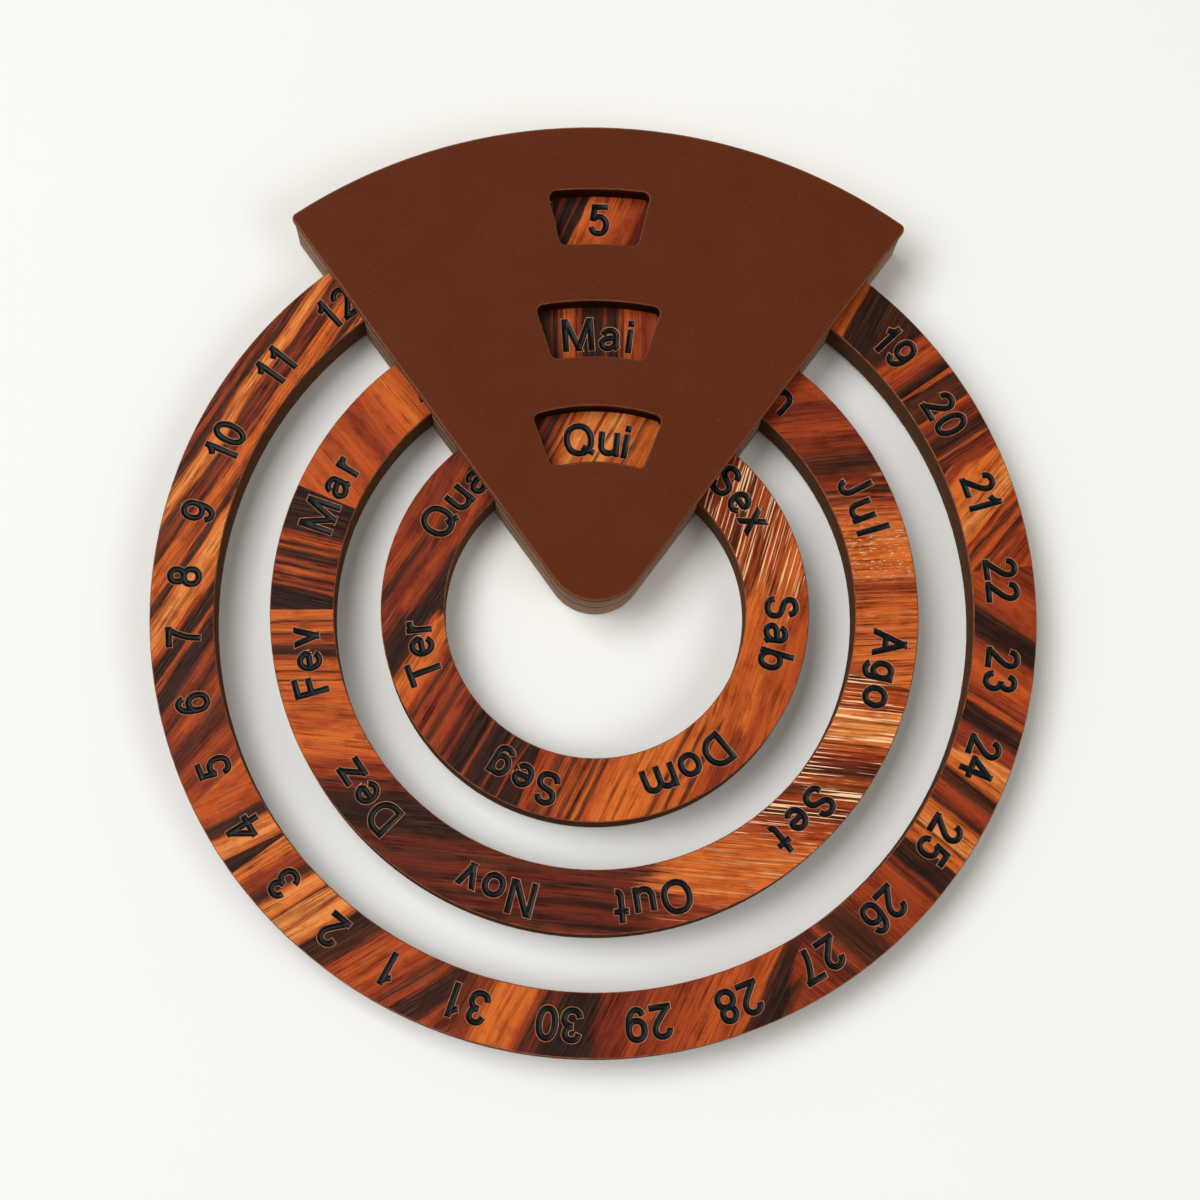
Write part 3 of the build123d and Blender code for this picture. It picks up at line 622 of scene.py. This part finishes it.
class Stroke:
    """One routed stroke in a glyph's own frame, in mm."""

    def __init__(self, points, before, after):
        self.closed = before is None
        scaled = [(x * CAP_HEIGHT, y * CAP_HEIGHT) for x, y in points]
        self.points = scaled if self.closed else moved_ends(scaled, before * HALF_WIDTH, after * HALF_WIDTH)
        following = self.points[1:] + self.points[:1] if self.closed else self.points[1:]
        self.segments = [(start, end, self.ends_near(start)) for start, end in zip(self.points, following)]

    def ends_near(self, place):
        """The flat ends that a segment near them is cut off by, as (x, y, direction x, direction y)."""
        near = []
        for chain in ([] if self.closed else [self.points, self.points[::-1]]):
            (ax, ay), (bx, by) = chain[:2]
            length = distance(chain[0], chain[1])
            if distance(chain[0], place) < 2 * HALF_WIDTH or len(self.points) == 2:
                near.append((ax, ay, (ax - bx) / length, (ay - by) / length))
        return near

    def outside(self, x, y):
        """The distance outside the paint's edge, negative inside it."""
        best = FAR
        for (ax, ay), (bx, by), ends in self.segments:
            dx = bx - ax
            dy = by - ay
            share = min(1.0, max(0.0, ((x - ax) * dx + (y - ay) * dy) / (dx * dx + dy * dy)))
            reach = hypot(x - ax - share * dx, y - ay - share * dy) - HALF_WIDTH
            for ex, ey, tx, ty in ends:
                reach = max(reach, (x - ex) * tx + (y - ey) * ty)
            best = min(best, reach)
        return best

    def loops(self, reach):
        """Closed loops at a distance outside the paint's edge."""
        half = HALF_WIDTH + reach
        if self.closed:
            return [self.side(self.points, half), self.side(self.points, -half)]
        points = moved_ends(self.points, reach, reach)
        return [self.side(points, half) + self.side(points, -half)[::-1]]

    def side(self, points, half):
        """The points moved aside by a half width."""
        headings = [atan2(by - ay, bx - ax) for (ax, ay), (bx, by) in zip(points, points[1:] + points[:1])]
        if not self.closed:
            headings[-1] = headings[-2]
        incoming = headings[-1:] + headings if self.closed else headings[:1] + headings
        moved = []
        for (x, y), first, second in zip(points, incoming, headings):
            turn = (second - first + pi) % (2 * pi) - pi
            heading = first + turn / 2
            mitre = half / cos(turn / 2)
            moved.append((x - sin(heading) * mitre, y + cos(heading) * mitre))
        return moved

    def ridge(self):
        """The centre line, short of flat ends."""
        if self.closed:
            return self.points
        length = sum(distance(start, end) for start, end, _ in self.segments)
        return [] if length < SHORT * HALF_WIDTH else moved_ends(self.points, -HALF_WIDTH, -HALF_WIDTH)


class Glyph:
    """A glyph at its place on a ring."""

    def __init__(self, character, turn, left, base):
        self.strokes = [Stroke(*stroke) for stroke in GLYPHS[character]]
        self.top = CUT_OFF.get(character)
        self.turn = turn
        self.left = left
        self.base = base
        self.size = glyph_width(character)

    def place(self, x, y):
        """From the glyph's frame to the ring's."""
        side = x + self.left
        up = y + self.base
        return (side * cos(self.turn) + up * sin(self.turn), up * cos(self.turn) - side * sin(self.turn))

    def outside(self, x, y):
        """The distance of a point on the ring outside the paint's edge."""
        side = x * cos(self.turn) - y * sin(self.turn) - self.left
        up = x * sin(self.turn) + y * cos(self.turn) - self.base
        if not (-MARGIN < side < self.size + MARGIN and -DESCENT < up < CAP_HEIGHT + MARGIN):
            return FAR
        reach = min(stroke.outside(side, up) for stroke in self.strokes)
        if self.top is not None:
            reach = max(reach, up - self.top * CAP_HEIGHT - HALF_WIDTH, -HALF_WIDTH - up)
        return reach

    def chains(self):
        """Lines that the mesh must follow, as (points, closed)."""
        made = []
        for stroke in self.strokes:
            for reach, _ in GROOVE[:-1]:
                for loop in stroke.loops(reach):
                    if self.top is not None:
                        grown = HALF_WIDTH + reach
                        loop = cut(cut(loop, self.top * CAP_HEIGHT + grown, 1), -grown, -1)
                    made.append(([self.place(*point) for point in loop], True))
            ridge = stroke.ridge()
            if ridge and self.top is None:
                made.append(([self.place(*point) for point in ridge], stroke.closed))
        return made


def glyph_width(character):
    """From the first centre line to the last, in mm."""
    return CAP_HEIGHT * max(x for points, *_ in GLYPHS[character] for x, y in points)


def place_label(ring, text, middle_angle, shift, gap):
    """The label's glyphs. Each stands upright at its own angle."""
    radius = RADIUS[ring] - RING_WIDTH / 2
    widths = [glyph_width(character) for character in text]
    advance = 2 * HALF_WIDTH + gap
    left = -(sum(widths) + advance * (len(text) - 1)) / 2
    glyphs = []
    for character, width in zip(text, widths):
        turn = radians(middle_angle) + (left + width / 2) / radius
        glyphs.append(Glyph(character, turn, -width / 2, radius + shift - CAP_HEIGHT / 2))
        left += width + advance
    return glyphs


def groove_depth(reach):
    """How far the surface lies below the face, at a distance outside the paint's edge."""
    for (outer, high), (inner, low) in zip(GROOVE, GROOVE[1:]):
        if reach >= inner - TINY:
            return max(0.0, low + (high - low) * (reach - inner) / (outer - inner)) if reach < outer else high
    return GROOVE[-1][1]


# ---- ring faces

EDGE = 0.28  # the eased edge of a ring's face
STEP = 2.0  # degrees between points along a ring's edges
SEAM_ROOM = 0.4  # degrees that these points keep from a seam


def leaf_at(ring, angle):
    """The index of the leaf under an angle."""
    for index, leaf in enumerate(LEAVES[ring]):
        if leaf.start <= angle < leaf.end or leaf.start <= angle - 360 < leaf.end:
            return index
    return 0


class RingFace:
    """The lettered face of one ring, gathered sector by sector and made into one mesh.

    Its materials are those of its leaves, then the letters' rims and paint, the eased edges and the walls.
    """

    def __init__(self, ring):
        self.ring = ring
        self.points = {}
        self.faces = []
        self.slots = []
        self.smooth = []
        self.rim, self.paint, self.bevel, self.wall = range(len(LEAVES[ring]), len(LEAVES[ring]) + 4)
        seams = {round(leaf.start % 360, 3) for leaf in LEAVES[ring]}
        regular = {step * STEP for step in range(int(360 / STEP))}
        near = {angle for angle in regular if any(0 < abs(angle - seam) < SEAM_ROOM for seam in seams)}
        self.angles = sorted((regular - near) | seams)

    def vertex(self, x, y, z):
        key = (round(x, 4), round(y, 4), round(z, 4))
        return self.points.setdefault(key, len(self.points))

    def add_face(self, corners, slot, smooth):
        corners = list(dict.fromkeys(corners))
        if len(corners) > 2:
            self.faces.append(corners)
            self.slots.append(slot)
            self.smooth.append(smooth)

    def add_edges(self):
        """The eased edges and the side walls of the leaf."""
        outer = RADIUS[self.ring]
        inner = outer - RING_WIDTH
        profiles = (
            ((outer - EDGE, FACE_Z), (outer, FACE_Z - EDGE), self.bevel),
            ((outer, FACE_Z - EDGE), (outer, LEAF_Z), self.wall),
            ((inner, FACE_Z - EDGE), (inner + EDGE, FACE_Z), self.bevel),
            ((inner, LEAF_Z), (inner, FACE_Z - EDGE), self.wall),
        )
        for first, second in zip(self.angles, self.angles[1:] + self.angles[:1]):
            for near, far, slot in profiles:
                corners = ((near, first), (far, first), (far, second), (near, second))
                self.add_face([self.vertex(*polar(r, angle), z) for (r, z), angle in corners], slot, True)

    def add_sector(self, start, end, glyphs):
        """The face between two angles, with a label's grooves cut in it."""
        outer = RADIUS[self.ring] - EDGE
        inner = RADIUS[self.ring] - RING_WIDTH + EDGE
        middle = (start + end) / 2
        span = (end - start) / 2 + TINY
        angles = sorted(angle_from(middle, angle) + middle for angle in self.angles)
        angles = [angle for angle in angles if abs(angle - middle) <= span]
        points = []
        edges = []

        def add_chain(chain, closed):
            first = len(points)
            points.extend(chain)
            edges.extend((first + i, first + i + 1) for i in range(len(chain) - 1))
            if closed:
                edges.append((first + len(chain) - 1, first))

        rim = [polar(outer, angle) for angle in angles] + [polar(inner, angle) for angle in reversed(angles)]
        add_chain(rim, True)
        for index, angle in enumerate(angles[1:-1], start=1):
            if any(abs(angle_from(leaf.start, angle)) < TINY for leaf in LEAVES[self.ring]):
                edges.append((index, len(rim) - 1 - index))
        for glyph in glyphs:
            for chain, closed in glyph.chains():
                add_chain(chain, closed)

        flat, _, triangles, *_ = delaunay_2d_cdt([Vector(p) for p in points], edges, [], 0, MERGE)
        depths = [groove_depth(min(glyph.outside(p.x, p.y) for glyph in glyphs)) for p in flat]
        for triangle in triangles:
            corners = [flat[i] for i in triangle]
            if all(hypot(p.x, p.y) < inner + TINY for p in corners):
                continue
            x = sum(p.x for p in corners) / 3
            y = sum(p.y for p in corners) / 3
            reach = min(glyph.outside(x, y) for glyph in glyphs)
            if reach >= RIM:
                slot = leaf_at(self.ring, degrees(atan2(x, y)) % 360)
            else:
                slot = self.rim if reach >= 0 else self.paint
            made = [self.vertex(flat[i].x, flat[i].y, FACE_Z - depths[i]) for i in triangle]
            self.add_face(made, slot, slot == self.paint)

    def build(self, materials):
        """The finished object."""
        vertices = [(x * MM, (y + AXIS_Y) * MM, z * MM) for x, y, z in self.points]
        mesh = bpy.data.meshes.new(f"{self.ring}_face")
        mesh.from_pydata(vertices, [], self.faces)
        for material in materials:
            mesh.materials.append(material)
        mesh.polygons.foreach_set("material_index", self.slots)
        mesh.polygons.foreach_set("use_smooth", self.smooth)
        mark_material_edges(mesh)
        mesh.update()
        return put_in_scene(f"{self.ring}_face", mesh)


def mark_material_edges(mesh):
    """Edges between two materials are sharp."""
    seen = {}
    sharp = mesh.attributes.new("sharp_edge", "BOOLEAN", "EDGE")
    for polygon in mesh.polygons:
        for index in polygon.loop_indices:
            edge = mesh.loops[index].edge_index
            if seen.setdefault(edge, polygon.material_index) != polygon.material_index:
                sharp.data[edge].value = True


def put_in_scene(name, data):
    made = bpy.data.objects.new(name, data)
    bpy.context.scene.collection.objects.link(made)
    return made


def make_ring_face(ring, shared):
    """Lettered veneer for one ring, in place of its plain leaves."""
    face = RingFace(ring)
    labels = read_labels(ring)
    angles = [label[1] for label in labels]
    borders = [(a + b) / 2 for a, b in zip(angles, angles[1:] + [angles[0] + 360])]
    borders = [min(face.angles, key=lambda angle: abs(angle_from(border, angle))) for border in borders]
    for label, start, end in zip(labels, borders[-1:] + borders, borders):
        angle = label[1]
        start = angle - (angle - start) % 360
        end = angle + (end - angle) % 360
        face.add_sector(start, end, place_label(ring, *label))
    face.add_edges()
    leaves = [
        veneer_material(f"{ring}_veneer_{index + 1}", leaf, LEAVES[ring][index - 1], RADIUS[ring])
        for index, leaf in enumerate(LEAVES[ring])
    ]
    made = face.build(leaves + shared)
    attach(made, f"{ring}_ring")
    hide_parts(f"{ring}_leaf_1", f"{ring}_leaf_2")


# ---- CAD nodes' materials

GLUE_AND_SHADOW_LINE = display(40, 26, 20)  # of the dark glue lines in the boards' edges, and of the painted shadow line under the panel

# The field of the windows' painted shade: half width, middle, half height, and its height over the joint
WINDOWS = (23.0, 91.0, 49.0, 2.0)


def layers(made, density, spread, wander, detail, roughness, flat):
    """Fine lines round a wall, which wander up and down a little, and another pattern on flat faces."""
    level = made.calc("MULTIPLY", made.split(made.place)[2], density)
    drift = made.noise(made.place, (spread, spread, 0.0))
    lines = made.noise(made.combine(made.calc("MULTIPLY_ADD", drift, wander, level)), 1.0, detail, roughness)
    normal = made.split(made.add("ShaderNodeNewGeometry").outputs["Normal"])[2]
    looks_up = made.calc("GREATER_THAN", made.calc("ABSOLUTE", normal), 0.9)
    return made.choose(looks_up, lines, flat)


def core_material():
    """Stained ring cores: dark brown, quite dull, with fine lines round the wall and grain underneath."""
    wood = Surface("ring_core_stain")
    grain = wood.noise(wood.place, (0.05, 1.4, 0.0), 5.0, 0.7)
    lines = layers(wood, 1.6, 0.05, 3.0, 4.0, 0.7, grain)
    cloud = wood.noise(wood.place, (0.2, 0.2, 0.8), 4.0)
    colour = wood.mix(wood.remap(lines, 0.35, 0.65), display(72, 45, 30), display(122, 87, 63))
    colour = wood.mix(wood.remap(cloud, 0.4, 0.7, 0.0, 0.4), colour, display(54, 34, 20))
    wood.finish(colour, 0.7, specular=0.0)
    wood.bump(lines, 0.3, 0.0001)
    return wood.material


def board_material():
    """Grey-brown board with fine layers and dark glue lines in its edges, a painted shadow line under the
    panel, and painted shade, near-black, inside the windows.
    """
    board = Surface("board_edges")
    x, y, level = board.split(board.place)
    fibres = board.noise(board.place, (1.1, 1.1, 0.0), 6.0, 0.75)
    lines = layers(board, 1.3, 0.04, 2.0, 5.0, 0.8, fibres)
    cloud = board.noise(board.place, (0.3, 0.3, 0.5), 4.0)
    colour = board.mix(board.remap(lines, 0.35, 0.65), display(124, 97, 79), display(184, 154, 130))
    colour = board.mix(board.remap(cloud, 0.45, 0.75, 0.0, 0.45), colour, display(112, 83, 67))
    off_joint = board.calc("ABSOLUTE", board.calc("SUBTRACT", level, JOINT_Z))
    colour = board.mix(board.remap(off_joint, 0.26, 0.46, 1.0, 0.0), colour, GLUE_AND_SHADOW_LINE)
    # A painted shadow line along the top of the board's wall, under the panel's edge
    colour = board.mix(board.remap(level, PANEL_Z - 0.9, PANEL_Z - 0.4, 0.0, 0.7), colour, GLUE_AND_SHADOW_LINE)

    # The windows' walls get painted shade, dark and near-black
    half_width, middle, half_height, rise = WINDOWS
    wide = board.calc("LESS_THAN", board.calc("ABSOLUTE", x), half_width)
    tall = board.calc("COMPARE", y, middle, half_height)
    deep = board.calc("GREATER_THAN", level, JOINT_Z + rise)
    window_shade = board.calc("MULTIPLY", board.calc("MULTIPLY", wide, tall), deep)
    colour = board.mix(window_shade, colour, board.mix(cloud, display(32, 15, 6), display(64, 31, 13)))
    board.finish(colour, 0.7, specular=0.0)
    board.bump(lines, 0.25, 0.0001)
    return board.material


HAIRS = ((28, 3.0), (-22, 11.0), (75, 19.0))  # (direction in degrees, seed) of the panel's fine marks


def panel_material():
    """Matt chocolate lacquer, faintly mottled, with pale specks and short fine hairs, a painted highlight on
    its eased edges and painted shade on its walls.
    """
    panel = Surface("panel_lacquer")
    mottle = panel.noise(panel.place, 0.05, 4.0, 0.55)
    grit = panel.noise(panel.place, 1.3, 3.0, 0.6)
    colour = panel.mix(panel.remap(mottle, 0.3, 0.7), display(92, 42, 18), display(98, 45, 21))
    colour = panel.mix(panel.remap(grit, 0.35, 0.65, 0.0, 0.45), colour, display(82, 35, 14))
    speck = panel.add("ShaderNodeTexVoronoi", {"Vector": panel.place, "Scale": 0.16}).outputs["Distance"]
    colour = panel.mix(panel.remap(speck, 0.034, 0.022, 0.0, 0.4), colour, display(150, 102, 76))
    for direction, seed in HAIRS:
        turned = panel.turn(panel.place, direction)
        stretched = panel.vector("MULTIPLY_ADD", turned, (0.28, 2.2, 0.0), (seed, 0.0, 0.0))
        hair = panel.noise(stretched, 1.0, distortion=0.6)
        colour = panel.mix(panel.remap(hair, 0.66, 0.76, 0.0, 0.13), colour, display(142, 92, 68))

    # The eased edge gets a painted highlight, lighter, and the walls get painted shade, darker
    up = panel.split(panel.coordinates["Normal"])[2]
    edge_highlight = panel.mix(panel.remap(grit, 0.3, 0.7), display(110, 58, 36), display(138, 82, 58))
    colour = panel.mix(panel.calc("COMPARE", up, 0.70, 0.2), colour, edge_highlight)
    # Painted shade on the panel's walls
    colour = panel.mix(panel.calc("COMPARE", up, 0.0, 0.4), colour, display(58, 28, 14))
    panel.finish(colour, panel.remap(mottle, 0.3, 0.7, 0.58, 0.48), specular=0.06)
    panel.bump(grit, 0.12, 0.00008)
    return panel.material


def felt_material():
    """Dark pressed felt."""
    colours = display(34, 28, 25), display(66, 57, 51)
    felt = mottled("felt_fibres", (2.5, 5.0, 0.75), (0.3, 0.7), colours, 0.95, (0.8, 0.0003), specular=0.1)
    felt.shader["Sheen Weight"].default_value = 0.4
    return felt.material


def dowel_material():
    """Bare beech dowels."""
    grain = ((2.5, 2.5, 0.15), 4.0, 0.6)
    colours = display(178, 142, 100), display(212, 180, 138)
    return mottled("dowel_beech", grain, (0.3, 0.7), colours, 0.6, (0.3, 0.0001)).material


SCREW_SPOTS = ((0.0, 31.0), (75.1, 130.1))  # from the rings' axis; the second one stands on both sides
CROSS = (0.45, 1.9)  # half the width and half the length of a recess's arms


def cross_recess(steel):
    """1 in the cross recess of each screw head."""
    folded = steel.vector("ABSOLUTE", steel.place)
    recess = 0.0
    for spot in SCREW_SPOTS:
        off = steel.vector("ABSOLUTE", steel.vector("SUBTRACT", folded, (*spot, 0.0)))
        x, y, _ = steel.split(off)
        narrow = steel.calc("LESS_THAN", steel.calc("MINIMUM", x, y), CROSS[0])
        short = steel.calc("LESS_THAN", steel.calc("MAXIMUM", x, y), CROSS[1])
        recess = steel.calc("MAXIMUM", recess, steel.calc("MULTIPLY", narrow, short))
    return recess


def screw_material():
    """Yellow-zinc screws with a turned finish and a cross recess, bumped in and darkened by painted shade."""
    steel = Surface("screw_zinc")
    turned = steel.noise(steel.place, (3.0, 3.0, 1.0), 4.0, 0.6)
    recess = cross_recess(steel)
    colour = steel.mix(steel.remap(turned, 0.3, 0.7), display(176, 158, 118), display(204, 190, 154))
    # Painted shade in the cross recess
    colour = steel.mix(recess, colour, display(44, 38, 30))
    steel.finish(colour, steel.remap(turned, 0.3, 0.7, 0.28, 0.45))
    steel.shader["Metallic"].default_value = 1.0
    steel.bump(steel.calc("MULTIPLY_ADD", turned, 0.2, steel.calc("MULTIPLY", recess, -1.0)), 0.5, 0.0002)
    return steel.material


def dress_frame():
    """Gives every CAD node that stays its material."""
    made = {
        "ring_core": core_material(),
        "board": board_material(),
        "face_panel": panel_material(),
        "felt": felt_material(),
        "dowel": dowel_material(),
        "screw_steel": screw_material(),
    }
    slots = {part["node"]: part["material_slot"] for part in frame["record"]["subparts"]}
    for name, node in frame["nodes"].items():
        if slots[name] in made:
            node.data.materials.clear()
            node.data.materials.append(made[slots[name]])


# ---- stage

FLOOR_SIZE = 2.0  # metres from the middle to a side

# (name, angle clockwise from the top of the picture, angle above the floor, power in watts)
LAMPS = (
    ("key_left", 297, 65, 44),
    ("side_left", 270, 50, 9),
    ("low_left", 250, 60, 16),
    ("fill_right", 120, 50, 20),
)
LAMP_DISTANCE = 3.0
LAMP_SIZE = 1.5
SKY = 0.23
SKY_TINT = (1.0, 0.90, 0.78, 1.0)

LENS = 78.0
CAMERA_PLACE = (-0.02187, -0.16979, 0.82745)
CAMERA_TURN = (11.398, -1.742, 0.463)  # degrees


def make_floor():
    """A plain pale floor."""
    mesh = bpy.data.meshes.new("floor")
    corners = [(x * FLOOR_SIZE, y * FLOOR_SIZE, 0) for x, y in ((-1, -1), (1, -1), (1, 1), (-1, 1))]
    mesh.from_pydata(corners, [], [(0, 1, 2, 3)])
    paper = Surface("floor_paper")
    cloud = paper.noise(paper.coordinates["Object"], 6.0, 3.0)
    paper.finish(paper.mix(cloud, display(246, 247, 244), display(248, 249, 247)), 0.9, specular=0.0)
    mesh.materials.append(paper.material)
    floor = put_in_scene("floor", mesh)


def make_lamp(name, angle, height, power):
    """A soft square lamp that faces the part."""
    data = bpy.data.lights.new(name, "AREA")
    data.size = LAMP_SIZE
    data.energy = power
    lamp = put_in_scene(name, data)
    x, y = polar(cos(radians(height)), angle)
    lamp.location = LAMP_DISTANCE * Vector((x, y, sin(radians(height))))
    lamp.rotation_euler = (-lamp.location).to_track_quat("-Z", "Y").to_euler()


def make_lights():
    """The lamps, and a weak, warm and even sky that the camera sees as white."""
    for lamp in LAMPS:
        make_lamp(*lamp)
    world = bpy.data.worlds.new("studio")
    world.use_nodes = True
    sky = Nodes(world.node_tree)
    back = sky.tree.nodes["Background"].inputs
    seen = sky.add("ShaderNodeLightPath").outputs["Is Camera Ray"]
    sky.set(back["Color"], sky.mix(seen, SKY_TINT, WHITE))
    sky.set(back["Strength"], sky.calc("MULTIPLY_ADD", seen, 1.0 - SKY, SKY))
    bpy.context.scene.world = world


def make_camera():
    """The photograph's view, nearly from above."""
    data = bpy.data.cameras.new("camera")
    data.sensor_width = 36.0
    data.lens = LENS
    camera = put_in_scene("camera", data)
    camera.location = CAMERA_PLACE
    camera.rotation_euler = [radians(angle) for angle in CAMERA_TURN]
    bpy.context.scene.camera = camera


make_camera()
make_floor()
make_lights()
dress_frame()
shared_materials = [rim_material(), letter_material(), bevel_highlight_material(), edge_material()]
for ring_name in RINGS:
    make_ring_face(ring_name, shared_materials)

bpy.context.scene.view_settings.view_transform = "Standard"
